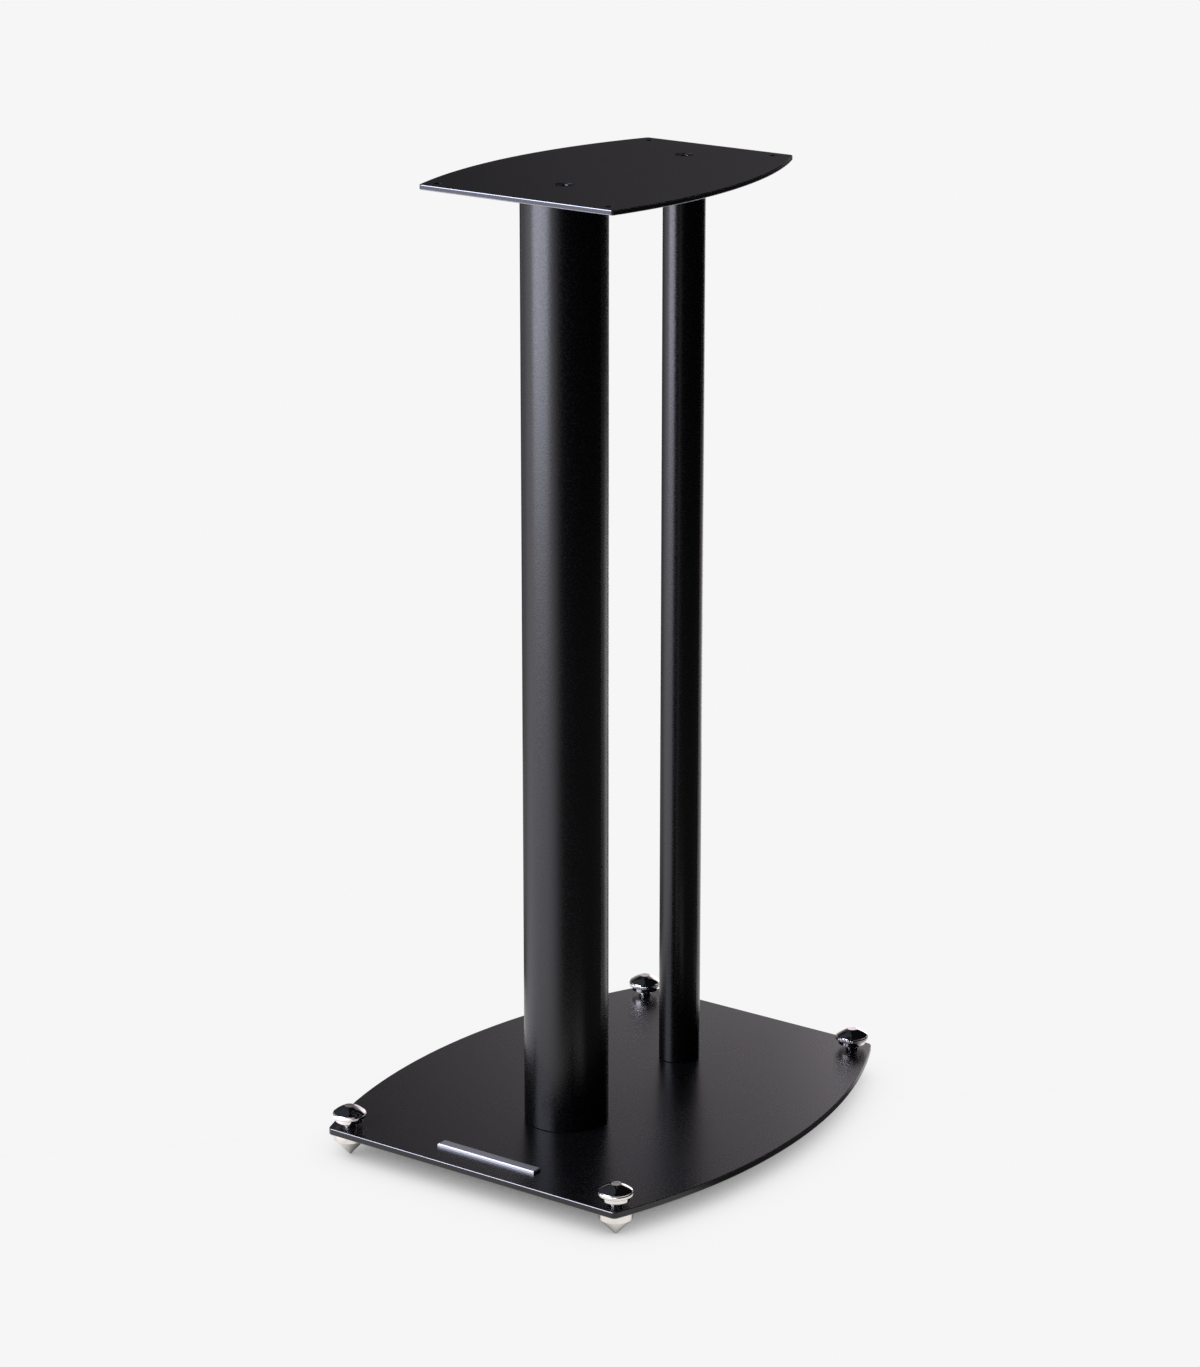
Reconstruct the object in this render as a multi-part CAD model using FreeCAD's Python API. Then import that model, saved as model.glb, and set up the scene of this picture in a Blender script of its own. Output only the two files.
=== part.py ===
"""Two-column speaker stand, in millimetres.

The origin is the centre of the footprint, on the floor. +Z is up, the front edge faces -Y,
and +X is on the right of someone who looks at that front edge.
"""
import FreeCAD
import Part
import math
import os

from FreeCAD import Vector

# ---------------------------------------------------------------- driving dimensions

# Base plate: flat steel, straight at the front and the rear, bowed outward at the sides.
base_depth = 300.0
base_front_width = 208.0
base_rear_width = 171.0
base_side_bow = 32.2
base_thickness = 4.0
base_corner_radius = 3.5

# Top plate: the same outline, smaller and thinner.
top_depth = 200.0
top_front_width = 132.5
top_rear_width = 102.3
top_side_bow = 18.2
top_thickness = 3.0
top_corner_radius = 2.0

plate_edge_round = 0.5

# Holes near the corners of the top plate, for screws that hold a loudspeaker from below.
speaker_hole_diameter = 5.0
speaker_hole_side_inset = 7.5
speaker_hole_end_inset = 8.2

# Columns: round tubes that stand on the centre line between the plates.
column_length = 557.0
front_column_diameter = 50.0
front_column_wall = 2.0
front_column_y = -53.5
rear_column_diameter = 25.0
rear_column_wall = 1.5
rear_column_y = 64.0
column_end_chamfer = 0.4

# End plugs: discs in the tube ends, each with a tapped hole on the column's axis.
plug_length = 14.0
plug_clearance = 0.05
plug_mouth_chamfer = 0.6

# Countersunk screws with a hexagon socket, 90 degrees under the head.
top_screw_diameter = 6.0
top_screw_length = 16.0
top_countersink_diameter = 12.2
top_socket_flats = 4.0
top_socket_depth = 2.2
base_screw_diameter = 8.0
base_screw_length = 16.0
base_countersink_diameter = 16.4
base_socket_flats = 5.0
base_socket_depth = 2.8
screw_head_sink = 0.4
screw_hole_clearance = 0.2
thread_clearance = 0.05

# Feet: a spike below the plate, a knob above it, and a stud that joins them through the plate.
foot_side_inset = 7.1
foot_end_inset = 11.4
spike_diameter = 19.6
spike_rim_height = 5.0
spike_tip_diameter = 1.0
spike_edge_chamfer = 0.4
spike_socket_depth = 6.5
stud_diameter = 8.0
stud_end_chamfer = 0.6
stud_end_gap = 0.2
knob_gap = 2.9
knob_collar_diameter = 16.6
knob_collar_height = 2.8
knob_edge_diameter = 20.0
knob_edge_height = 2.0
knob_edge_chamfer = 0.3
knob_flute_count = 56
knob_flute_depth = 0.3
knob_groove_diameter = 18.6
knob_groove_height = 0.35
knob_bead_diameter = 19.2
knob_bead_height = 0.6
knob_cap_height = 3.4
knob_cap_bulge = 0.35
knob_crown_diameter = 4.8
knob_crown_rise = 0.25
knob_socket_depth = 5.6

# Blank badge bar on the base plate, parallel to the front edge.
badge_length = 70.0
badge_width = 7.0
badge_thickness = 1.8
badge_bevel = 0.6
badge_edge_inset = 16.5

# ---------------------------------------------------------------- levels and places

spike_cone_height = (spike_diameter - spike_tip_diameter) / 2
base_bottom_z = spike_rim_height + spike_cone_height
base_top_z = base_bottom_z + base_thickness
top_bottom_z = base_top_z + column_length
stand_height = top_bottom_z + top_thickness

up = Vector(0, 0, 1)
floor_centre = Vector(0, 0, 0)

foot_front_y = -base_depth / 2 + foot_end_inset
foot_rear_y = base_depth / 2 - foot_end_inset
foot_front_x = base_front_width / 2 - foot_side_inset
foot_rear_x = base_rear_width / 2 - foot_side_inset
foot_places = {
    "front_left": Vector(-foot_front_x, foot_front_y, 0),
    "front_right": Vector(foot_front_x, foot_front_y, 0),
    "rear_left": Vector(-foot_rear_x, foot_rear_y, 0),
    "rear_right": Vector(foot_rear_x, foot_rear_y, 0),
}

speaker_hole_front_y = -top_depth / 2 + speaker_hole_end_inset
speaker_hole_rear_y = top_depth / 2 - speaker_hole_end_inset
speaker_hole_front_x = top_front_width / 2 - speaker_hole_side_inset
speaker_hole_rear_x = top_rear_width / 2 - speaker_hole_side_inset
speaker_hole_places = [
    Vector(-speaker_hole_front_x, speaker_hole_front_y, 0),
    Vector(speaker_hole_front_x, speaker_hole_front_y, 0),
    Vector(-speaker_hole_rear_x, speaker_hole_rear_y, 0),
    Vector(speaker_hole_rear_x, speaker_hole_rear_y, 0),
]

column_axes = [Vector(0, front_column_y, 0), Vector(0, rear_column_y, 0)]


# ---------------------------------------------------------------- shared shapes

def turned(profile):
    """A solid of revolution about Z from (radius, z) points, closed along the axis."""
    points = [Vector(radius, 0, z) for radius, z in profile]
    wire = Part.makePolygon(points + [points[0]])
    return Part.Face(wire).revolve(floor_centre, up, 360)


def cylinder(radius, bottom_z, top_z, place=floor_centre):
    """An upright cylinder between two levels."""
    return Part.makeCylinder(radius, top_z - bottom_z, place + up * bottom_z, up)


def around(radius, angle, z=0.0):
    """The point at a radius and an angle, in radians, round the Z axis."""
    return Vector(radius * math.cos(angle), radius * math.sin(angle), z)


def level_edges(solid):
    """The edges of a plain upright solid that lie level, round its top and its bottom."""
    return [edge for edge in solid.Edges if edge.BoundBox.ZLength < Part.Precision.confusion()]


def upright_edges(solid):
    """The edges of a plain upright solid that run from its bottom to its top."""
    return [edge for edge in solid.Edges if edge.BoundBox.ZLength > Part.Precision.confusion()]


# ---------------------------------------------------------------- plates

def bowed_plate(depth, front_width, rear_width, bow, thickness, corner_radius, bottom_z):
    """A plate with straight front and rear edges and sides that are arcs of a circle."""
    front_right = Vector(front_width / 2, -depth / 2, bottom_z)
    rear_right = Vector(rear_width / 2, depth / 2, bottom_z)
    chord = rear_right - front_right
    outward = Vector(chord.y, -chord.x, 0).normalize()
    mid_right = (front_right + rear_right) / 2 + outward * bow
    front_left = Vector(-front_right.x, front_right.y, bottom_z)
    rear_left = Vector(-rear_right.x, rear_right.y, bottom_z)
    mid_left = Vector(-mid_right.x, mid_right.y, bottom_z)
    outline = Part.Wire([
        Part.LineSegment(front_left, front_right).toShape(),
        Part.Arc(front_right, mid_right, rear_right).toShape(),
        Part.LineSegment(rear_right, rear_left).toShape(),
        Part.Arc(rear_left, mid_left, front_left).toShape(),
    ])
    plate = Part.Face(outline).extrude(up * thickness)
    plate = plate.makeFillet(corner_radius, upright_edges(plate))
    return plate.makeFillet(plate_edge_round, level_edges(plate))


def countersunk_hole(place, face_z, thickness, inward, sink_diameter, screw_diameter):
    """The space of a 90-degree countersunk hole that runs inward from a plate's face."""
    sink_radius = sink_diameter / 2
    hole_radius = screw_diameter / 2 + screw_hole_clearance
    mouth = place + up * face_z
    cone = Part.makeCone(sink_radius, hole_radius, sink_radius - hole_radius, mouth, inward)
    return cone.fuse(Part.makeCylinder(hole_radius, thickness, mouth, inward))


def make_base_plate():
    """Base plate with four tapped holes for the feet and two countersunk holes from below."""
    plate = bowed_plate(base_depth, base_front_width, base_rear_width, base_side_bow,
                        base_thickness, base_corner_radius, base_bottom_z)
    for place in foot_places.values():
        tapped_radius = stud_diameter / 2 + thread_clearance
        plate = plate.cut(cylinder(tapped_radius, base_bottom_z, base_top_z, place))
    for axis in column_axes:
        plate = plate.cut(countersunk_hole(axis, base_bottom_z, base_thickness, up,
                                           base_countersink_diameter, base_screw_diameter))
    return plate


def make_top_plate():
    """Top plate with two countersunk holes from above and four plain holes for a loudspeaker."""
    plate = bowed_plate(top_depth, top_front_width, top_rear_width, top_side_bow,
                        top_thickness, top_corner_radius, top_bottom_z)
    for place in speaker_hole_places:
        plate = plate.cut(cylinder(speaker_hole_diameter / 2, top_bottom_z, stand_height, place))
    for axis in column_axes:
        plate = plate.cut(countersunk_hole(axis, stand_height, top_thickness, -up,
                                           top_countersink_diameter, top_screw_diameter))
    return plate


# ---------------------------------------------------------------- columns and their plugs

def make_column(diameter, wall, axis):
    """A round tube between the plates, its outer rims slightly chamfered."""
    outside = cylinder(diameter / 2, base_top_z, top_bottom_z, axis)
    outside = outside.makeChamfer(column_end_chamfer, level_edges(outside))
    return outside.cut(cylinder(diameter / 2 - wall, base_top_z, top_bottom_z, axis))


def make_plug(diameter, wall, axis, screw_diameter, mouth_z, inward):
    """A disc in a tube's end, flush with it, with a tapped hole whose mouth is chamfered."""
    radius = diameter / 2 - wall - plug_clearance
    tapped_radius = screw_diameter / 2 + thread_clearance
    mouth = axis + up * mouth_z
    disc = Part.makeCylinder(radius, plug_length, mouth, inward)
    tapped_hole = Part.makeCylinder(tapped_radius, plug_length, mouth, inward)
    mouth_radius = tapped_radius + plug_mouth_chamfer
    mouth_cone = Part.makeCone(mouth_radius, tapped_radius, plug_mouth_chamfer, mouth, inward)
    return disc.cut(tapped_hole).cut(mouth_cone)


# ---------------------------------------------------------------- screws

def hexagon_prism(flats, height, centre, inward):
    """A hexagonal prism, given by its width across flats."""
    corners = [centre + around(flats / math.sqrt(3), math.pi / 3 * step) for step in range(7)]
    return Part.Face(Part.makePolygon(corners)).extrude(inward * height)


def make_screw(axis, face_z, inward, diameter, length, sink_diameter, socket_flats, socket_depth):
    """A countersunk screw with a hexagon socket; its head lies a little below the plate's face."""
    shank_radius = diameter / 2
    head_radius = sink_diameter / 2 - screw_head_sink - thread_clearance
    head_face = axis + up * face_z + inward * screw_head_sink
    head = Part.makeCone(head_radius, shank_radius, head_radius - shank_radius, head_face, inward)
    shank = Part.makeCylinder(shank_radius, length - screw_head_sink, head_face, inward)
    socket = hexagon_prism(socket_flats, socket_depth, head_face, inward)
    return head.fuse(shank).removeSplitter().cut(socket)


# ---------------------------------------------------------------- feet

def make_spike():
    """A 90-degree cone with a straight rim that bears on the plate, and a tapped blind hole."""
    radius = spike_diameter / 2
    tip_radius = spike_tip_diameter / 2
    body = turned([
        (0, 0),
        (tip_radius, 0),
        (radius, spike_cone_height),
        (radius, base_bottom_z - spike_edge_chamfer),
        (radius - spike_edge_chamfer, base_bottom_z),
        (0, base_bottom_z),
    ])
    socket_radius = stud_diameter / 2 + thread_clearance
    return body.cut(cylinder(socket_radius, base_bottom_z - spike_socket_depth, base_bottom_z))


knob_bottom_z = base_top_z + knob_gap


def make_stud():
    """The threaded rod that runs from the spike through the plate into the knob."""
    radius = stud_diameter / 2
    bottom_z = base_bottom_z - spike_socket_depth + stud_end_gap
    top_z = knob_bottom_z + knob_socket_depth - stud_end_gap
    return turned([
        (0, bottom_z),
        (radius - stud_end_chamfer, bottom_z),
        (radius, bottom_z + stud_end_chamfer),
        (radius, top_z - stud_end_chamfer),
        (radius - stud_end_chamfer, top_z),
        (0, top_z),
    ])


def flute_cuts(bottom_z, top_z):
    """V-shaped cuts round the knob's edge, one for each flute."""
    root_radius = knob_edge_diameter / 2 - knob_flute_depth
    outer_radius = knob_edge_diameter / 2 + knob_flute_depth
    half_step = math.pi / knob_flute_count
    cuts = []
    for flute in range(knob_flute_count):
        angle = 2 * half_step * flute
        root = around(root_radius, angle, bottom_z)
        left = around(outer_radius, angle - half_step, bottom_z)
        right = around(outer_radius, angle + half_step, bottom_z)
        triangle = Part.Face(Part.makePolygon([root, left, right, root]))
        cuts.append(triangle.extrude(up * (top_z - bottom_z)))
    return Part.makeCompound(cuts)


def make_knob():
    """A turning knob: smooth collar, fluted edge, groove, bead and a low conical cap."""
    collar_radius = knob_collar_diameter / 2
    edge_radius = knob_edge_diameter / 2
    groove_radius = knob_groove_diameter / 2
    bead_radius = knob_bead_diameter / 2
    crown_radius = knob_crown_diameter / 2
    edge_bottom_z = knob_bottom_z + knob_collar_height
    edge_top_z = edge_bottom_z + knob_edge_height
    bead_bottom_z = edge_top_z + knob_groove_height
    bead_middle_z = bead_bottom_z + knob_bead_height / 2
    cap_bottom_z = bead_bottom_z + knob_bead_height
    crown_z = cap_bottom_z + knob_cap_height
    cap_start = Vector(groove_radius, 0, cap_bottom_z)
    cap_end = Vector(crown_radius, 0, crown_z)
    flank = cap_end - cap_start
    cap_middle = (cap_start + cap_end) / 2 + Vector(flank.z, 0, -flank.x).normalize() * knob_cap_bulge
    crown_top = Vector(0, 0, crown_z + knob_crown_rise)
    sphere_radius = (crown_radius ** 2 + knob_crown_rise ** 2) / (2 * knob_crown_rise)
    half_angle = math.asin(crown_radius / sphere_radius) / 2
    sphere_centre = crown_top - up * sphere_radius
    crown_middle = sphere_centre + Vector(math.sin(half_angle), 0, math.cos(half_angle)) * sphere_radius
    lower = [Vector(radius, 0, z) for radius, z in (
        (0, knob_bottom_z),
        (collar_radius, knob_bottom_z),
        (collar_radius, edge_bottom_z),
        (edge_radius - knob_edge_chamfer, edge_bottom_z),
        (edge_radius, edge_bottom_z + knob_edge_chamfer),
        (edge_radius, edge_top_z - knob_edge_chamfer),
        (edge_radius - knob_edge_chamfer, edge_top_z),
        (groove_radius, edge_top_z),
        (groove_radius, bead_bottom_z),
    )]
    edges = [Part.LineSegment(start, end).toShape() for start, end in zip(lower, lower[1:])]
    edges.append(Part.Arc(lower[-1], Vector(bead_radius, 0, bead_middle_z), cap_start).toShape())
    edges.append(Part.Arc(cap_start, cap_middle, cap_end).toShape())
    edges.append(Part.Arc(cap_end, crown_middle, crown_top).toShape())
    edges.append(Part.LineSegment(crown_top, lower[0]).toShape())
    knob = Part.Face(Part.Wire(edges)).revolve(floor_centre, up, 360)
    knob = knob.cut(flute_cuts(edge_bottom_z, edge_top_z))
    socket_radius = stud_diameter / 2 + thread_clearance
    return knob.cut(cylinder(socket_radius, knob_bottom_z, knob_bottom_z + knob_socket_depth))


# ---------------------------------------------------------------- badge

def make_badge():
    """A blank bar that lies on the base plate, its upper rim bevelled."""
    front_y = -base_depth / 2 + badge_edge_inset
    corner = Vector(-badge_length / 2, front_y, base_top_z)
    bar = Part.makeBox(badge_length, badge_width, badge_thickness, corner)
    top_face = max(bar.Faces, key=lambda face: face.CenterOfMass.z)
    return bar.makeChamfer(badge_bevel, top_face.Edges)


# ---------------------------------------------------------------- the stand

front_axis, rear_axis = column_axes
nodes = {
    "base_plate": make_base_plate(),
    "top_plate": make_top_plate(),
    "front_column": make_column(front_column_diameter, front_column_wall, front_axis),
    "rear_column": make_column(rear_column_diameter, rear_column_wall, rear_axis),
    "front_column_bottom_plug": make_plug(front_column_diameter, front_column_wall, front_axis,
                                          base_screw_diameter, base_top_z, up),
    "front_column_top_plug": make_plug(front_column_diameter, front_column_wall, front_axis,
                                       top_screw_diameter, top_bottom_z, -up),
    "rear_column_bottom_plug": make_plug(rear_column_diameter, rear_column_wall, rear_axis,
                                         base_screw_diameter, base_top_z, up),
    "rear_column_top_plug": make_plug(rear_column_diameter, rear_column_wall, rear_axis,
                                      top_screw_diameter, top_bottom_z, -up),
    "base_screws": Part.makeCompound([
        make_screw(axis, base_bottom_z, up, base_screw_diameter, base_screw_length,
                   base_countersink_diameter, base_socket_flats, base_socket_depth)
        for axis in column_axes]),
    "top_screws": Part.makeCompound([
        make_screw(axis, stand_height, -up, top_screw_diameter, top_screw_length,
                   top_countersink_diameter, top_socket_flats, top_socket_depth)
        for axis in column_axes]),
    "badge": make_badge(),
}

foot_pieces = {"spike": make_spike(), "stud": make_stud(), "knob": make_knob()}
for corner_name, place in foot_places.items():
    for piece_name, piece in foot_pieces.items():
        nodes[f"{piece_name}_{corner_name}"] = piece.translated(place)

os.makedirs("parts", exist_ok=True)
for node_name, shape in nodes.items():
    shape.exportStep(f"parts/{node_name}.step")
    print(f"{node_name}: {len(shape.Solids)} solid(s), {shape.Volume:.1f} mm3, valid {shape.isValid()}")
print(f"height {stand_height:.1f} mm, base plate top at {base_top_z:.1f} mm")
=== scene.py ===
import math

import bmesh
import bpy
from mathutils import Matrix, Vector


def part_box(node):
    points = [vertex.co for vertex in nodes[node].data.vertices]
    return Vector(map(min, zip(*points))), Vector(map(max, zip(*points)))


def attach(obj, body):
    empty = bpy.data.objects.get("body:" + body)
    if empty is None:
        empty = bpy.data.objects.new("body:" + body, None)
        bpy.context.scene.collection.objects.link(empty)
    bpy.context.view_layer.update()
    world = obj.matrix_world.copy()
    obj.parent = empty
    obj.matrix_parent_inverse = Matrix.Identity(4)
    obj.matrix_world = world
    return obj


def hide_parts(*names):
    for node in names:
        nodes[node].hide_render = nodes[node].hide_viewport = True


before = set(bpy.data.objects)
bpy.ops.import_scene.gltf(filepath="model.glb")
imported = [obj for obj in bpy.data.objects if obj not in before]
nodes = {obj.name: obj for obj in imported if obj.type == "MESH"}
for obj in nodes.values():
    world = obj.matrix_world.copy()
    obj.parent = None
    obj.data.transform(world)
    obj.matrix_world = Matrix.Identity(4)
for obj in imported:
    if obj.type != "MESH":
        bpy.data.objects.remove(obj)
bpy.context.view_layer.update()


# ---------------------------------------------------------------- base plate
# Flat 4 mm sheet steel, laser-cut to straight ends and bowed sides, tapped at the corners for
# the feet and countersunk from below for the column screws. Its black powder is sprayed and
# baked on and flows out to a smooth satin; along the rounded arrises a pale metallic tone is
# painted in as a highlight line.

def add_node(tree, kind, inputs=None, **settings):
    """Adds a shader node. Each input is a plain value, or the output socket that feeds it."""
    made = tree.nodes.new(f"ShaderNode{kind}")
    for name, value in settings.items():
        setattr(made, name, value)
    for name, value in (inputs or {}).items():
        if isinstance(value, bpy.types.NodeSocket):
            tree.links.new(value, made.inputs[name])
        else:
            made.inputs[name].default_value = value
    return made


def calc(tree, operation, *values):
    """A Math node on plain values or sockets; gives the socket with its result."""
    return add_node(tree, "Math", dict(enumerate(values)), operation=operation).outputs[0]


def fade(tree, value, start, end, low=0.0, high=1.0):
    """A smooth change from low to high while the value goes from start to end."""
    ranged = add_node(tree, "MapRange", {"Value": value, "From Min": start, "From Max": end,
                                         "To Min": low, "To Max": high},
                      interpolation_type="SMOOTHSTEP")
    return ranged.outputs["Result"]


def blend_colour(tree, share, first, second):
    """A mix of two colours; each is a plain colour or a socket."""
    mixed = add_node(tree, "Mix", {0: share, 6: first, 7: second}, data_type="RGBA")
    return mixed.outputs[2]


def new_group(name, inputs, outputs):
    """A shader node group: inputs give each socket's default value, outputs each socket's kind."""
    tree = bpy.data.node_groups.new(name, "ShaderNodeTree")
    for label, default in inputs.items():
        kind = "NodeSocketFloat" if isinstance(default, float) else "NodeSocketColor"
        socket = tree.interface.new_socket(label, in_out="INPUT", socket_type=kind)
        socket.default_value = default
    for label, kind in outputs.items():
        tree.interface.new_socket(label, in_out="OUTPUT", socket_type=kind)
    given = tree.nodes.new("NodeGroupInput").outputs
    result = tree.nodes.new("NodeGroupOutput").inputs
    return tree, given, result


def make_powder_coat():
    """Baked powder: a fine grain of fused beads under broad, faint rub marks."""
    tree, given, result = new_group(
        "powder_coat",
        {"Coat": (0.01, 0.01, 0.01, 1.0), "Fleck": (0.02, 0.02, 0.02, 1.0), "Beads per metre": 900.0,
         "Rubs per metre": 18.0, "Roughness": 0.3, "Bead spread": 0.1, "Rub spread": 0.05},
        {"Color": "NodeSocketColor", "Roughness": "NodeSocketFloat", "Height": "NodeSocketFloat"})
    place = add_node(tree, "TexCoord").outputs["Object"]
    bead = add_node(tree, "TexNoise", {"Vector": place, "Scale": given["Beads per metre"],
                                       "Detail": 2.0, "Roughness": 0.6}).outputs["Fac"]
    rub = add_node(tree, "TexNoise", {"Vector": place, "Scale": given["Rubs per metre"],
                                      "Detail": 5.0, "Distortion": 0.4}).outputs["Fac"]
    bead_change = calc(tree, "MULTIPLY", calc(tree, "SUBTRACT", bead, 0.5), given["Bead spread"])
    rub_change = calc(tree, "MULTIPLY", calc(tree, "SUBTRACT", rub, 0.5), given["Rub spread"])
    change = calc(tree, "ADD", bead_change, rub_change)
    tree.links.new(blend_colour(tree, fade(tree, bead, 0.5, 0.75), given["Coat"], given["Fleck"]),
                   result["Color"])
    tree.links.new(calc(tree, "ADD", given["Roughness"], change), result["Roughness"])
    tree.links.new(bead, result["Height"])
    return tree


def make_turned_up():
    """Two masks: one where a surface turns between upright and level, one on upright faces."""
    tree, given, result = new_group("turned_up", {"Breaks per metre": 300.0},
                                    {"Turning": "NodeSocketFloat", "Upright": "NodeSocketFloat"})
    normal = add_node(tree, "NewGeometry").outputs["Normal"]
    rise = calc(tree, "ABSOLUTE", add_node(tree, "SeparateXYZ", {0: normal}).outputs["Z"])
    arris = calc(tree, "MULTIPLY", fade(tree, rise, 0.05, 0.16), fade(tree, rise, 0.985, 0.94))
    place = add_node(tree, "TexCoord").outputs["Object"]
    breaks = add_node(tree, "TexNoise", {"Vector": place, "Scale": given["Breaks per metre"],
                                         "Detail": 3.0}).outputs["Fac"]
    tree.links.new(calc(tree, "MULTIPLY", arris, fade(tree, breaks, 0.3, 0.6, 0.92, 1.0)),
                   result["Turning"])
    tree.links.new(fade(tree, rise, 0.05, 0.03), result["Upright"])
    return tree


powder_coat = make_powder_coat()
turned_up = make_turned_up()


def powder_material(name, coat, arris_highlight_tone, relief, side_roughness=None):
    """Black powder on steel; coat gives the grain's values, relief its depth in metres, and the arrises
    a painted highlight tone.
    """
    material = bpy.data.materials.new(name)
    material.use_nodes = True
    tree = material.node_tree
    shader = tree.nodes["Principled BSDF"]
    powder = add_node(tree, "Group", coat, node_tree=powder_coat)
    masks = add_node(tree, "Group", node_tree=turned_up).outputs
    # Where the surface turns, the powder gives way to a pale metallic tone: a painted highlight line.
    tree.links.new(blend_colour(tree, masks["Turning"], powder.outputs["Color"], arris_highlight_tone),
                   shader.inputs["Base Color"])
    tree.links.new(masks["Turning"], shader.inputs["Metallic"])
    roughness = powder.outputs["Roughness"]
    if side_roughness is not None:
        roughness = add_node(tree, "Mix", {0: masks["Upright"], 2: roughness,
                                           3: side_roughness}).outputs[0]
    tree.links.new(roughness, shader.inputs["Roughness"])
    bump = add_node(tree, "Bump", {"Height": powder.outputs["Height"], "Distance": relief})
    tree.links.new(bump.outputs["Normal"], shader.inputs["Normal"])
    return material


def dress(node_name, material):
    """Gives a CAD node this material in place of its own."""
    nodes[node_name].data.materials.clear()
    nodes[node_name].data.materials.append(material)


def smooth_black(name, side_roughness, arris_highlight_tone):
    """The plates' powder. Each plate's cut sides have a roughness of their own, and its arrises a
    painted highlight tone of their own.
    """
    return powder_material(
        name,
        {"Coat": (0.0022, 0.0021, 0.0025, 1.0), "Fleck": (0.0066, 0.0063, 0.0074, 1.0),
         "Beads per metre": 700.0, "Rubs per metre": 16.0, "Roughness": 0.27, "Bead spread": 0.03,
         "Rub spread": 0.06},
        arris_highlight_tone=arris_highlight_tone, relief=0.0000005, side_roughness=side_roughness)


# Along the base's arrises a grey metallic tone paints a highlight line.
dress("base_plate", smooth_black("smooth_black_powder", 0.27, arris_highlight_tone=(0.20, 0.20, 0.205, 1.0)))


# ---------------------------------------------------------------- columns
# Two drawn steel tubes, 50 mm in front and 25 mm behind, stand on the centre line of the base.
# Their powder is a finer-grained, less glossy mix than the plates', and its fused beads sparkle
# where a lamp is mirrored along the tube.

# The tube ends' arrises take a faint dark-grey metallic tone, a painted highlight.
textured_black = powder_material(
    "textured_black_powder",
    {"Coat": (0.0003, 0.0003, 0.0004, 1.0), "Fleck": (0.0024, 0.0022, 0.0028, 1.0),
     "Beads per metre": 850.0, "Rubs per metre": 11.0, "Roughness": 0.28, "Bead spread": 0.24,
     "Rub spread": 0.05},
    arris_highlight_tone=(0.08, 0.08, 0.085, 1.0), relief=0.000035)
dress("front_column", textured_black)
dress("rear_column", textured_black)


# ---------------------------------------------------------------- column plugs
# Turned steel discs pressed into both ends of each tube, flush with its rim and tapped on the
# axis for the screws. They stay bare and lightly oiled, with the fine rings of the lathe tool.

def make_turned_rings():
    """Fine concentric tool marks about an upright axis, and the mottle of oil on bare metal."""
    tree, given, result = new_group(
        "turned_rings",
        {"Axis x": 0.0, "Axis y": 0.0, "Rings per metre": 5000.0, "Clean": (0.5, 0.5, 0.5, 1.0),
         "Soiled": (0.3, 0.3, 0.3, 1.0), "Roughness": 0.2, "Spread": 0.1},
        {"Color": "NodeSocketColor", "Roughness": "NodeSocketFloat", "Height": "NodeSocketFloat"})
    place = add_node(tree, "TexCoord").outputs["Object"]
    parts = add_node(tree, "SeparateXYZ", {0: place}).outputs
    across = calc(tree, "SUBTRACT", parts["X"], given["Axis x"])
    along = calc(tree, "SUBTRACT", parts["Y"], given["Axis y"])
    radius = calc(tree, "SQRT", calc(tree, "ADD", calc(tree, "MULTIPLY", across, across),
                                     calc(tree, "MULTIPLY", along, along)))
    path = calc(tree, "ADD", radius, parts["Z"])
    rings = add_node(tree, "TexNoise", {"W": path, "Scale": given["Rings per metre"],
                                        "Detail": 1.0}, noise_dimensions="1D").outputs["Fac"]
    mottle = add_node(tree, "TexNoise", {"Vector": place, "Scale": 260.0,
                                         "Detail": 4.0}).outputs["Fac"]
    soiled = fade(tree, mottle, 0.45, 0.75)
    change = calc(tree, "MULTIPLY", calc(tree, "SUBTRACT", mottle, 0.5), given["Spread"])
    tree.links.new(blend_colour(tree, soiled, given["Clean"], given["Soiled"]), result["Color"])
    tree.links.new(calc(tree, "ADD", given["Roughness"], change), result["Roughness"])
    tree.links.new(rings, result["Height"])
    return tree


turned_rings = make_turned_rings()


def turned_material(name, centre, metal, relief):
    """Bare or plated metal turned about an upright axis; relief is the tool marks' depth."""
    material = bpy.data.materials.new(name)
    material.use_nodes = True
    tree = material.node_tree
    shader = tree.nodes["Principled BSDF"]
    shader.inputs["Metallic"].default_value = 1.0
    axis = {"Axis x": centre.x, "Axis y": centre.y}
    turned = add_node(tree, "Group", {**axis, **metal}, node_tree=turned_rings)
    tree.links.new(turned.outputs["Color"], shader.inputs["Base Color"])
    tree.links.new(turned.outputs["Roughness"], shader.inputs["Roughness"])
    bump = add_node(tree, "Bump", {"Height": turned.outputs["Height"], "Distance": relief})
    tree.links.new(bump.outputs["Normal"], shader.inputs["Normal"])
    return material


def middle_of(node_name):
    """The middle of a CAD node's box at rest."""
    low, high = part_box(node_name)
    return (low + high) / 2


for column in ("front_column", "rear_column"):
    bare_steel = turned_material(
        f"bare_steel_{column}", middle_of(column),
        {"Rings per metre": 4000.0, "Clean": (0.44, 0.43, 0.42, 1.0),
         "Soiled": (0.25, 0.24, 0.23, 1.0), "Roughness": 0.3, "Spread": 0.2}, relief=0.000004)
    for end in ("bottom", "top"):
        dress(f"{column}_{end}_plug", bare_steel)


# ---------------------------------------------------------------- top plate
# The same laser-cut outline, smaller and 3 mm thick, under the same smooth powder as the base.
# Four plain holes near its corners take screws that come up into a loudspeaker.

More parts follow.
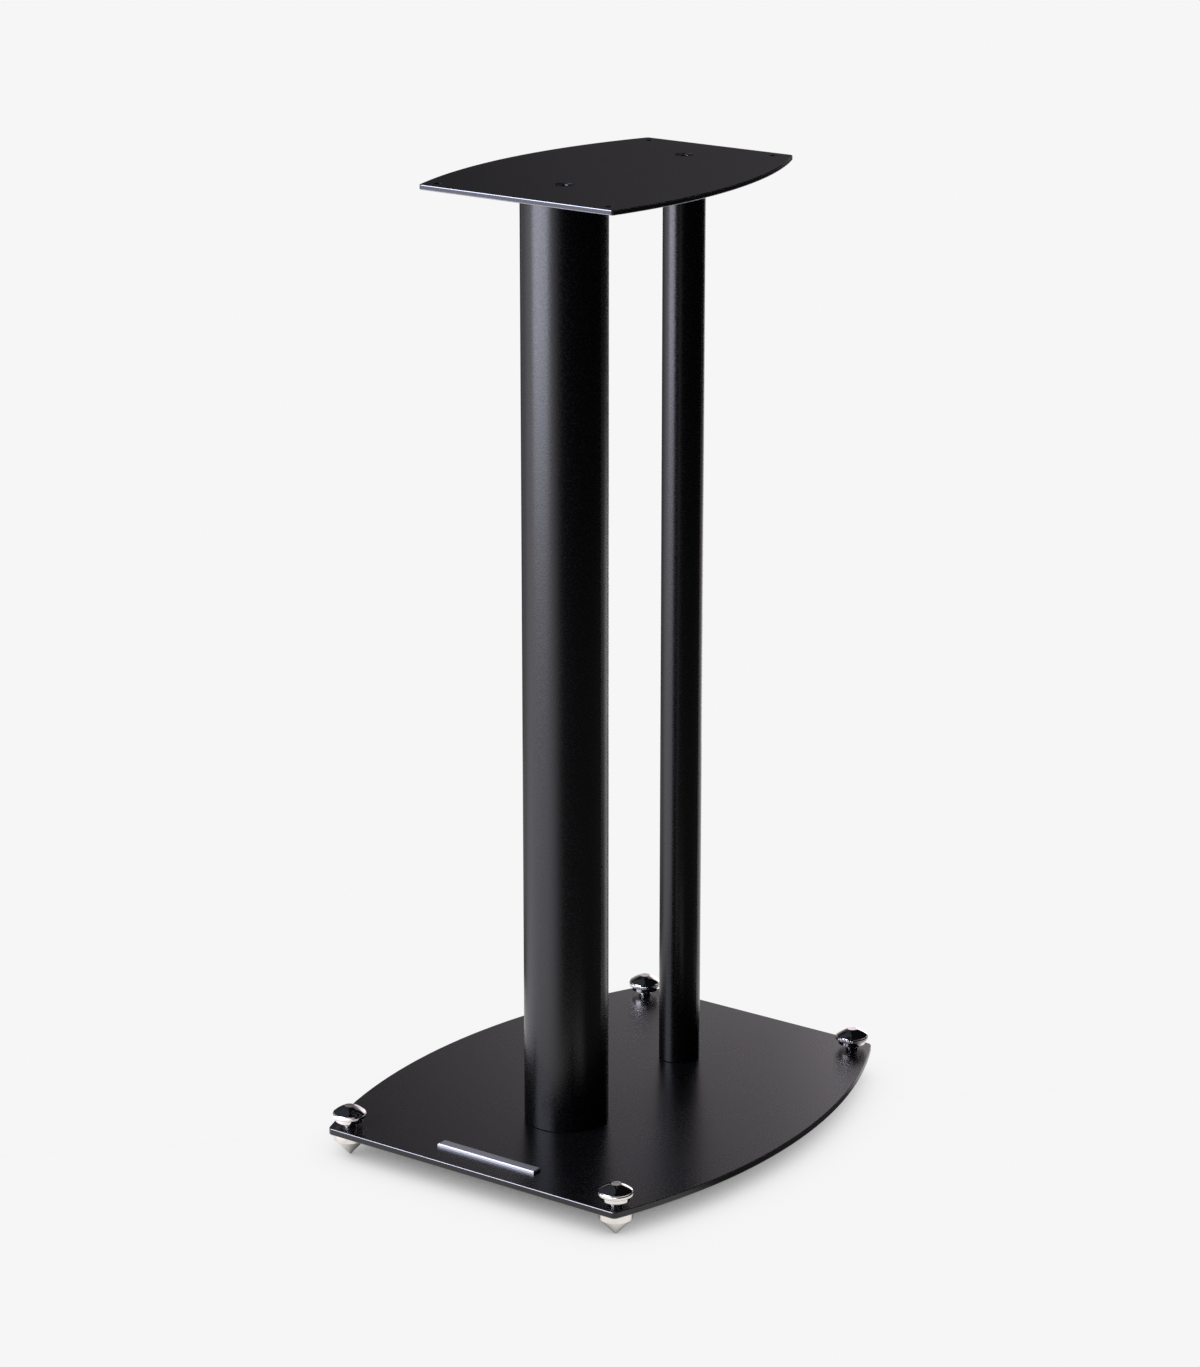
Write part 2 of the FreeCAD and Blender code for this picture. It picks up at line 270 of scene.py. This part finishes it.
# Along the top plate's arrises a paler, bluish metallic tone paints a brighter highlight line than the
# base's.
dress("top_plate", smooth_black("smooth_black_powder_top", 0.5, arris_highlight_tone=(0.30, 0.315, 0.34, 1.0)))


# ---------------------------------------------------------------- column screws
# Countersunk hexagon-socket screws, two through each plate into the plugs. They are blackened
# with a zinc bath, which leaves them a little glossier than the powder around them.

def make_thin_edges():
    """A mask that is 1 on an arris and 0 away from it, broken up a little along its length."""
    tree, given, result = new_group("thin_edges", {"Reach": 0.0006, "Breaks per metre": 300.0},
                                    {"Mask": "NodeSocketFloat"})
    rounded = add_node(tree, "Bevel", {"Radius": given["Reach"]}, samples=4).outputs["Normal"]
    flat = add_node(tree, "NewGeometry").outputs["Normal"]
    facing = add_node(tree, "VectorMath", {0: rounded, 1: flat},
                      operation="DOT_PRODUCT").outputs["Value"]
    arris = fade(tree, calc(tree, "SUBTRACT", 1.0, facing), 0.004, 0.05)
    place = add_node(tree, "TexCoord").outputs["Object"]
    breaks = add_node(tree, "TexNoise", {"Vector": place, "Scale": given["Breaks per metre"],
                                         "Detail": 3.0}).outputs["Fac"]
    tree.links.new(calc(tree, "MULTIPLY", arris, fade(tree, breaks, 0.3, 0.6, 0.75, 1.0)),
                   result["Mask"])
    return tree


thin_edges = make_thin_edges()


def make_black_zinc():
    """Blackened zinc: dark and shiny, rubbed to a paler grey where a key or a rim has touched."""
    material = bpy.data.materials.new("black_zinc")
    material.use_nodes = True
    tree = material.node_tree
    shader = tree.nodes["Principled BSDF"]
    shader.inputs["Metallic"].default_value = 1.0
    edges = add_node(tree, "Group", {"Reach": 0.0003, "Breaks per metre": 900.0},
                     node_tree=thin_edges).outputs["Mask"]
    place = add_node(tree, "TexCoord").outputs["Object"]
    mottle = add_node(tree, "TexNoise", {"Vector": place, "Scale": 900.0,
                                         "Detail": 4.0}).outputs["Fac"]
    dark = blend_colour(tree, mottle, (0.02, 0.02, 0.023, 1.0), (0.05, 0.05, 0.056, 1.0))
    tree.links.new(blend_colour(tree, edges, dark, (0.45, 0.45, 0.46, 1.0)),
                   shader.inputs["Base Color"])
    tree.links.new(fade(tree, mottle, 0.3, 0.7, 0.36, 0.5), shader.inputs["Roughness"])
    rounded = add_node(tree, "Bevel", {"Radius": 0.0003}, samples=8)
    tree.links.new(rounded.outputs["Normal"], shader.inputs["Normal"])
    return material


black_zinc = make_black_zinc()
dress("base_screws", black_zinc)
dress("top_screws", black_zinc)


# ---------------------------------------------------------------- badge bar
# A blank bar of nickel-plated steel, bevelled round its upper face and bonded to the base plate
# parallel to the front edge. It is brushed along its length before plating.

def make_brushed_nickel():
    """Nickel over long, fine brush strokes that run along the bar."""
    material = bpy.data.materials.new("brushed_nickel")
    material.use_nodes = True
    tree = material.node_tree
    shader = tree.nodes["Principled BSDF"]
    shader.inputs["Metallic"].default_value = 1.0
    place = add_node(tree, "TexCoord").outputs["Object"]
    stretched = add_node(tree, "Mapping", {"Vector": place, "Scale": (25.0, 2600.0, 2600.0)})
    strokes = add_node(tree, "TexNoise", {"Vector": stretched.outputs[0], "Scale": 1.0,
                                          "Detail": 4.0, "Roughness": 0.7}).outputs["Fac"]
    edges = add_node(tree, "Group", {"Reach": 0.0003}, node_tree=thin_edges).outputs["Mask"]
    brushed = blend_colour(tree, strokes, (0.50, 0.50, 0.515, 1.0), (0.68, 0.68, 0.695, 1.0))
    tree.links.new(blend_colour(tree, edges, brushed, (0.75, 0.75, 0.76, 1.0)),
                   shader.inputs["Base Color"])
    tree.links.new(fade(tree, strokes, 0.2, 0.8, 0.46, 0.66), shader.inputs["Roughness"])
    bump = add_node(tree, "Bump", {"Height": strokes, "Distance": 0.000006})
    tree.links.new(bump.outputs["Normal"], shader.inputs["Normal"])
    return material


dress("badge", make_brushed_nickel())


# ---------------------------------------------------------------- spikes
# Each foot stands on a turned steel cone with a straight rim, tapped from above and run up the
# stud until its rim bears on the plate. It is polished and nickel-plated.

CORNERS = ("front_left", "front_right", "rear_left", "rear_right")
spike_segments = 160
spike_arris = 0.00018
spike_tip_radius = 0.0005
spike_rim_height = 0.0043
spike_socket_gap = 0.0002
thread_clearance = 0.00005
sharp_turn = math.radians(32)


def rounded_profile(corners, steps=4):
    """Points along a profile of (radius, z, arris radius) corners, each arris drawn as an arc."""
    points = []
    for index, (radius, z, arris) in enumerate(corners):
        here = Vector((radius, z))
        if arris == 0.0 or index in (0, len(corners) - 1):
            points.append(here)
            continue
        before = Vector(corners[index - 1][:2]) - here
        after = Vector(corners[index + 1][:2]) - here
        half_turn = before.angle(after) / 2
        reach = min(arris / math.tan(half_turn), before.length / 2, after.length / 2)
        start, end = here + before.normalized() * reach, here + after.normalized() * reach
        for step in range(steps + 1):
            share = step / steps
            points.append(start.lerp(here, share).lerp(here.lerp(end, share), share))
    return points


def lathe(name, profile, centre, segments, radius_change=None):
    """A closed mesh turned about an upright axis from a profile that starts and ends on it."""
    mesh = bpy.data.meshes.new(name)
    shape = bmesh.new()
    rings = []
    for radius, z in profile:
        if radius < 1e-7:
            rings.append([shape.verts.new((centre.x, centre.y, z))])
            continue
        ring = []
        for segment in range(segments):
            angle = 2 * math.pi * segment / segments
            reach = radius if radius_change is None else radius_change(radius, z, angle)
            ring.append(shape.verts.new((centre.x + reach * math.cos(angle),
                                         centre.y + reach * math.sin(angle), z)))
        rings.append(ring)
    for lower, upper in zip(rings, rings[1:]):
        for segment in range(segments):
            following = (segment + 1) % segments
            corners = [lower[segment % len(lower)], lower[following % len(lower)],
                       upper[following % len(upper)], upper[segment % len(upper)]]
            shape.faces.new(list(dict.fromkeys(corners)))
    bmesh.ops.recalc_face_normals(shape, faces=shape.faces)
    shape.to_mesh(mesh)
    shape.free()
    mesh.shade_smooth()
    mesh.set_sharp_from_angle(angle=sharp_turn)
    made = bpy.data.objects.new(name, mesh)
    bpy.context.scene.collection.objects.link(made)
    return made


def plated(name, centre):
    """Polished nickel over faint tool marks."""
    return turned_material(
        name, centre,
        {"Rings per metre": 3200.0, "Clean": (0.82, 0.78, 0.745, 1.0),
         "Soiled": (0.74, 0.70, 0.67, 1.0), "Roughness": 0.055, "Spread": 0.05}, relief=0.0000003)


nickel = {}
for corner in CORNERS:
    low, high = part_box(f"spike_{corner}")
    centre = middle_of(f"spike_{corner}")
    spike_radius = (high.x - low.x) / 2
    stud_low, stud_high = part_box(f"stud_{corner}")
    bore = (stud_high.x - stud_low.x) / 2 + thread_clearance
    socket_top = stud_low.z - spike_socket_gap
    nickel[corner] = plated(f"polished_nickel_{corner}", centre)
    spike = lathe(f"spike_cone_{corner}", rounded_profile([
        (0.0, low.z, 0.0),
        (spike_tip_radius, low.z, spike_arris),
        (spike_radius, high.z - spike_rim_height, spike_arris),
        (spike_radius, high.z, spike_arris),
        (bore, high.z, spike_arris),
        (bore, socket_top, 0.0),
        (0.0, socket_top, 0.0),
    ]), centre, spike_segments)
    spike.data.materials.append(nickel[corner])
    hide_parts(f"spike_{corner}")
    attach(spike, f"foot_{corner}")


# ---------------------------------------------------------------- studs
# A piece of zinc-plated M8 rod, rolled with a 1.25 mm thread, joins spike and knob through the
# tapped hole in the plate. One turn of the knob lifts or lowers the corner by that pitch.

thread_pitch = 0.00125
thread_depth = 0.00072
crest_share = 0.125
flank_share = 0.625
thread_rows = 12
stud_segments = 64
stud_chamfer = 0.0006
thread_sharp_turn = math.radians(40)
same_point = 1e-7


def thread_radius(radius, turn):
    """The rod's radius at a share of one pitch: a flat crest, straight flanks, a flat root."""
    share = abs(turn % 1.0 - 0.5) * 2
    return radius - thread_depth * min(max((share - crest_share) / flank_share, 0.0), 1.0)


def threaded_rod(name, low, high, centre, radius):
    """A closed rod whose surface rows climb with the thread; its ends are chamfered."""
    shape = bmesh.new()
    turns = math.ceil((high - low) / thread_pitch)
    rows = thread_rows * (turns + 1)
    columns = []
    for segment in range(stud_segments):
        share = segment / stud_segments
        angle = 2 * math.pi * share
        column = []
        for row in range(rows + 1):
            turn = row / thread_rows - share
            z = min(max(low + turn * thread_pitch, low), high)
            end_room = min(z - low, high - z)
            reach = thread_radius(radius, (z - low) / thread_pitch + share)
            reach = min(reach, radius - max(stud_chamfer - end_room, 0.0))
            column.append(shape.verts.new((centre.x + reach * math.cos(angle),
                                           centre.y + reach * math.sin(angle), z)))
        columns.append(column)
    for segment in range(stud_segments):
        following = columns[(segment + 1) % stud_segments]
        climb = thread_rows if segment == stud_segments - 1 else 0
        here = columns[segment]
        for row in range(climb, rows):
            shape.faces.new([here[row], here[row + 1], following[row + 1 - climb],
                             following[row - climb]])
    bmesh.ops.remove_doubles(shape, verts=shape.verts, dist=same_point)
    bmesh.ops.dissolve_degenerate(shape, edges=shape.edges, dist=same_point)
    open_edges = [edge for edge in shape.edges if edge.is_boundary]
    bmesh.ops.contextual_create(shape, geom=open_edges)
    bmesh.ops.recalc_face_normals(shape, faces=shape.faces)
    mesh = bpy.data.meshes.new(name)
    shape.to_mesh(mesh)
    shape.free()
    mesh.shade_smooth()
    mesh.set_sharp_from_angle(angle=thread_sharp_turn)
    made = bpy.data.objects.new(name, mesh)
    bpy.context.scene.collection.objects.link(made)
    return made


for corner in CORNERS:
    low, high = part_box(f"stud_{corner}")
    centre = middle_of(f"stud_{corner}")
    stud = threaded_rod(f"threaded_stud_{corner}", low.z, high.z, centre, (high.x - low.x) / 2)
    stud.data.materials.append(turned_material(
        f"bright_zinc_{corner}", centre,
        {"Rings per metre": 9000.0, "Clean": (0.72, 0.72, 0.73, 1.0),
         "Soiled": (0.46, 0.46, 0.47, 1.0), "Roughness": 0.17, "Spread": 0.12}, relief=0.000001))
    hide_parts(f"stud_{corner}")
    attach(stud, f"foot_{corner}")


# ---------------------------------------------------------------- knobs
# Each corner is levelled with a turned brass knob, polished and nickel-plated: a plain collar,
# a fluted edge for the fingers, a groove and a bead, and a low conical cap with a small crown.

knob_flutes = 90
knob_flute_depth = 0.00013
knob_segments = knob_flutes * 6
knob_collar_radius = 0.0083
knob_collar_height = 0.0028
knob_edge_height = 0.002
knob_edge_chamfer = 0.0003
knob_mouth_arris = 0.0002
knob_foot_arris = 0.00025
knob_fine_arris = 0.0001
knob_rim_arris = 0.0002
knob_groove_arris = 0.00008
knob_groove_radius = 0.0093
knob_groove_height = 0.00035
knob_bead_radius = 0.0096
knob_bead_height = 0.0006
knob_cap_height = 0.0037
knob_cap_bulge = 0.0003
knob_crown_radius = 0.003
knob_crown_shoulder = (0.55, 0.72)
knob_socket_depth = 0.0056


def arc_points(start, middle, end, steps):
    """Points on a shallow curve through three (radius, z) points, without the first."""
    pull = 2 * middle - (start + end) / 2
    return [start.lerp(pull, step / steps).lerp(pull.lerp(end, step / steps), step / steps)
            for step in range(1, steps + 1)]


def knob_profile(low, high, edge_radius, bore):
    """The knob's outline from the mouth of its socket, round the outside, to the top of the crown."""
    edge_low = low + knob_collar_height
    edge_high = edge_low + knob_edge_height
    bead_low = edge_high + knob_groove_height
    cap_low = bead_low + knob_bead_height
    crown_low = cap_low + knob_cap_height
    points = rounded_profile([
        (0.0, low + knob_socket_depth, 0.0),
        (bore, low + knob_socket_depth, 0.0),
        (bore, low, knob_mouth_arris),
        (knob_collar_radius, low, knob_foot_arris),
        (knob_collar_radius, edge_low, knob_fine_arris),
        (edge_radius - knob_edge_chamfer, edge_low, knob_fine_arris),
        (edge_radius, edge_low + knob_edge_chamfer, knob_rim_arris),
        (edge_radius, edge_high - knob_edge_chamfer, knob_rim_arris),
        (edge_radius - knob_edge_chamfer, edge_high, knob_fine_arris),
        (knob_groove_radius, edge_high, knob_groove_arris),
        (knob_groove_radius, bead_low, 0.0),
    ])
    bead_start, cap_start = Vector((knob_groove_radius, bead_low)), Vector((knob_groove_radius, cap_low))
    bead_middle = Vector((knob_bead_radius, (bead_low + cap_low) / 2))
    points += arc_points(bead_start, bead_middle, cap_start, 8)
    crown_edge = Vector((knob_crown_radius, crown_low))
    flank = crown_edge - cap_start
    outward = Vector((flank.y, -flank.x)).normalized()
    cap_middle = (cap_start + crown_edge) / 2 + outward * knob_cap_bulge
    points += arc_points(cap_start, cap_middle, crown_edge, 14)
    across, up = knob_crown_shoulder
    crown_middle = Vector((knob_crown_radius * across, crown_low + (high - crown_low) * up))
    points += arc_points(crown_edge, crown_middle, Vector((0.0, high)), 8)
    return points


for corner in CORNERS:
    low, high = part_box(f"knob_{corner}")
    centre = middle_of(f"knob_{corner}")
    edge_radius = (high.x - low.x) / 2
    stud_low, stud_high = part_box(f"stud_{corner}")
    bore = (stud_high.x - stud_low.x) / 2 + thread_clearance
    flute_low, flute_high = low.z + knob_collar_height, low.z + knob_collar_height + knob_edge_height

    def fluted(radius, z, angle):
        """The radius with the flutes' shallow hollows, which only the finger edge has."""
        if not flute_low - 1e-6 <= z <= flute_high + 1e-6 or radius < knob_groove_radius + 0.0001:
            return radius
        hollow = 0.5 + 0.5 * math.cos(knob_flutes * angle)
        return radius - knob_flute_depth * hollow

    knob = lathe(f"levelling_knob_{corner}", knob_profile(low.z, high.z, edge_radius, bore), centre,
                 knob_segments, fluted)
    knob.data.materials.append(nickel[corner])
    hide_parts(f"knob_{corner}")
    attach(knob, f"knob_{corner}")


# ---------------------------------------------------------------- floor and backdrop
# The stand is shown on a seamless pale sweep that glows with one even tone, with a contact
# shadow painted into it where the base and feet keep the light off it. What the metal mirrors
# is painted light and shade on that sweep: lit in the middle, at the left and behind, in a
# bright pool at the left front, and dark elsewhere and far away.
# A sector is the azimuth of its middle and the angles from it where its light starts and is
# full. A reach is a distance from the stand's centre where a change starts and where it ends.

sweep_tone = (0.9216, 0.9216, 0.9216, 1.0)
floor_half = 40.0
shadow_reach = 0.15
shadow_power = 0.42
# Painted light and shade on the sweep, which only mirrored rays see:
pool_tone = (1.55, 1.5, 1.62, 1.0)
back_light_tone = (1.05, 1.0, 1.02, 1.0)
unlit_tone = (0.09, 0.085, 0.09, 1.0)
far_shade_tone = (0.006, 0.006, 0.007, 1.0)
left_light_tone = (0.32, 0.315, 0.34, 1.0)
centre_edge_reach = (0.235, 0.275)
far_reach = (1.15, 1.5)
right_shade_sector, right_shade_reach = (13.0, 45.0, 30.0), (0.11, 0.14)
left_sector, left_reach = (172.0, 40.0, 22.0), (0.25, 0.5)
back_sector, back_reach = (98.0, 33.0, 20.0), (2.1, 1.0)
pool_sector, pool_reach = (-124.0, 62.0, 18.0), (0.19, 0.235)


def square(name, half):
    """A level square on the floor, centred under the stand."""
    mesh = bpy.data.meshes.new(name)
    mesh.from_pydata([(-half, -half, 0), (half, -half, 0), (half, half, 0), (-half, half, 0)],
                     [], [(0, 1, 2, 3)])
    made = bpy.data.objects.new(name, mesh)
    bpy.context.scene.collection.objects.link(made)
    return made


def towards(tree, vector, azimuth, start, end):
    """How far a level direction turns towards an azimuth: 0 at the angle start, 1 at the angle end."""
    level = add_node(tree, "VectorMath", {0: vector, 1: (1.0, 1.0, 0.0)}, operation="MULTIPLY")
    unit = add_node(tree, "VectorMath", {0: level.outputs[0]}, operation="NORMALIZE")
    heading = (math.cos(math.radians(azimuth)), math.sin(math.radians(azimuth)), 0.0)
    cosine = add_node(tree, "VectorMath", {0: unit.outputs[0], 1: heading},
                      operation="DOT_PRODUCT").outputs["Value"]
    return fade(tree, cosine, math.cos(math.radians(start)), math.cos(math.radians(end)))


def make_sweep():
    """The sweep's even tone and contact shadow, and the pools of light that the metal mirrors."""
    material = bpy.data.materials.new("pale_sweep")
    material.use_nodes = True
    tree = material.node_tree
    tree.nodes.clear()
    open_sky = add_node(tree, "AmbientOcclusion", {"Distance": shadow_reach},
                        samples=16).outputs["AO"]
    seen_lit = fade(tree, calc(tree, "POWER", open_sky, shadow_power), 0.0, 1.01)
    position = add_node(tree, "NewGeometry").outputs["Position"]
    reach = add_node(tree, "VectorMath", {0: position}, operation="LENGTH").outputs["Value"]
    right_side = calc(tree, "MULTIPLY", towards(tree, position, *right_shade_sector),
                      fade(tree, reach, *right_shade_reach))
    unlit = calc(tree, "MAXIMUM", fade(tree, reach, *centre_edge_reach), right_side)
    dim = blend_colour(tree, fade(tree, reach, *far_reach), unlit_tone, far_shade_tone)
    centre = blend_colour(tree, unlit, sweep_tone, dim)
    left_light = calc(tree, "MULTIPLY", towards(tree, position, *left_sector),
                      fade(tree, reach, *left_reach))
    near = blend_colour(tree, left_light, centre, left_light_tone)
    back_light = calc(tree, "MULTIPLY", towards(tree, position, *back_sector),
                      fade(tree, reach, *back_reach))
    back = blend_colour(tree, back_light, near, back_light_tone)
    pool_light = calc(tree, "MULTIPLY", towards(tree, position, *pool_sector),
                      fade(tree, reach, *pool_reach))
    pool = blend_colour(tree, pool_light, back, pool_tone)
    mirrored = add_node(tree, "LightPath").outputs["Is Glossy Ray"]
    tone = blend_colour(tree, mirrored, sweep_tone, pool)
    mirrored_lit = fade(tree, open_sky, 0.0, 0.7)
    lit = add_node(tree, "Mix", {0: mirrored, 2: seen_lit, 3: mirrored_lit}).outputs[0]
    glow = add_node(tree, "Emission", {"Color": tone, "Strength": lit})
    clear = add_node(tree, "BsdfTransparent")
    below = add_node(tree, "NewGeometry").outputs["Backfacing"]
    shown = add_node(tree, "MixShader", {0: below, 1: glow.outputs[0], 2: clear.outputs[0]})
    add_node(tree, "OutputMaterial", {"Surface": shown.outputs[0]})
    material.cycles.emission_sampling = "NONE"
    return material


floor = square("floor", floor_half)
floor.data.materials.append(make_sweep())


# ---------------------------------------------------------------- glowing reflection card
# A curved card glows close behind the stand. It lights nothing, and only the satin and plated
# surfaces see it, as a painted reflection: bright at its foot and towards the right, dark at
# its top and left.

card_radius = 0.75
card_height = 1.1
card_from, card_to = 92.0, 160.0
card_steps = 40
card_tone = (0.73, 0.68, 0.74, 1.0)
card_dim_sector = (90.0, 66.0, 0.0)
card_least_glow = 0.05
card_top_fade = (0.66, 0.1, 0.16, 1.0)
card_edge_sector, card_edge_heights = (98.0, 18.0, 8.0), (0.6, 0.4)
card_foot_sector, card_foot_heights = (106.0, 30.0, 20.0), (0.2, 0.17)
card_foot_strength = 0.9


def make_card():
    """The card's mesh and its glow, which fades with height and round to the left."""
    points, faces = [], []
    for step in range(card_steps + 1):
        angle = math.radians(card_from + (card_to - card_from) * step / card_steps)
        for z in (0.0, card_height):
            points.append((card_radius * math.cos(angle), card_radius * math.sin(angle), z))
    for step in range(card_steps):
        faces.append((2 * step, 2 * step + 2, 2 * step + 3, 2 * step + 1))
    mesh = bpy.data.meshes.new("glowing_reflection_card")
    mesh.from_pydata(points, [], faces)
    card = bpy.data.objects.new("glowing_reflection_card", mesh)
    bpy.context.scene.collection.objects.link(card)
    material = bpy.data.materials.new("card_glow")
    material.use_nodes = True
    tree = material.node_tree
    tree.nodes.clear()
    position = add_node(tree, "NewGeometry").outputs["Position"]
    height = add_node(tree, "SeparateXYZ", {0: position}).outputs["Z"]
    around = calc(tree, "ADD", towards(tree, position, *card_dim_sector), card_least_glow)
    low_glow = fade(tree, height, *card_top_fade)
    edge_glow = calc(tree, "MULTIPLY", towards(tree, position, *card_edge_sector),
                     fade(tree, height, *card_edge_heights))
    wide_glow = calc(tree, "MULTIPLY_ADD", around, low_glow, edge_glow)
    foot_glow = calc(tree, "MULTIPLY", towards(tree, position, *card_foot_sector),
                     fade(tree, height, *card_foot_heights))
    strength = calc(tree, "MULTIPLY_ADD", foot_glow, card_foot_strength, wide_glow)
    glow = add_node(tree, "Emission", {"Color": card_tone, "Strength": strength})
    add_node(tree, "OutputMaterial", {"Surface": glow.outputs[0]})
    material.cycles.emission_sampling = "NONE"
    mesh.materials.append(material)
    card.visible_camera = False
    card.visible_diffuse = False
    card.visible_transmission = False
    card.visible_shadow = False
    return card


make_card()


# ---------------------------------------------------------------- lamps and world
# One tall softbox stands on the floor at the left front. The room around gives an even fill,
# and mirrors as a dim room with the pale sweep in it.

def aim(made, place, target):
    """Puts a lamp or camera at a place and turns it to face the target."""
    made.location = place
    made.rotation_euler = (Vector(target) - Vector(place)).to_track_quat("-Z", "Y").to_euler()


softbox_width, softbox_height = 1.45, 2.2
softbox_place = (-0.74, -1.38, 1.12)
softbox_target = (0.0, -0.05, 0.9)

softbox = bpy.data.lights.new("softbox", "AREA")
softbox.shape = "RECTANGLE"
softbox.size, softbox.size_y = softbox_width, softbox_height
softbox.energy = 74.0
softbox.color = (0.80, 0.82, 1.0)
softbox_stand = bpy.data.objects.new("softbox", softbox)
bpy.context.scene.collection.objects.link(softbox_stand)
aim(softbox_stand, softbox_place, softbox_target)
softbox_stand.visible_camera = False

world = bpy.data.worlds.new("studio")
bpy.context.scene.world = world
world.use_nodes = True
tree = world.node_tree
tree.nodes.clear()
light = add_node(tree, "LightPath").outputs
fill_tone = (0.45, 0.45, 0.46, 1.0)
room_tone = (0.004, 0.004, 0.005, 1.0)
left_tone = (0.03, 0.035, 0.045, 1.0)
left_room_sector = (-150.0, 90.0, 30.0)
away = add_node(tree, "TexCoord").outputs["Generated"]
room = blend_colour(tree, towards(tree, away, *left_room_sector), room_tone, left_tone)
lit = blend_colour(tree, light["Is Glossy Ray"], fill_tone, room)
seen = blend_colour(tree, light["Is Camera Ray"], lit, sweep_tone)
background = add_node(tree, "Background", {"Color": seen})
add_node(tree, "OutputWorld", {"Surface": background.outputs[0]})
world.cycles.sampling_method = "NONE"


# ---------------------------------------------------------------- camera
# The lens stands to the right of the front edge, about 2.4 m away and a metre up, and is long
# enough to fill the upright frame with the stand.

camera_place = (1.37708, -1.93010, 1.00600)
camera_tilt = (72.8556, 0.0, 35.7821)
camera_lens = 111.292

lens = bpy.data.cameras.new("camera")
lens.lens = camera_lens
lens.sensor_width = 36.0
camera = bpy.data.objects.new("camera", lens)
bpy.context.scene.collection.objects.link(camera)
camera.location = camera_place
camera.rotation_euler = [math.radians(angle) for angle in camera_tilt]
bpy.context.scene.camera = camera
bpy.context.scene.view_settings.view_transform = "Standard"
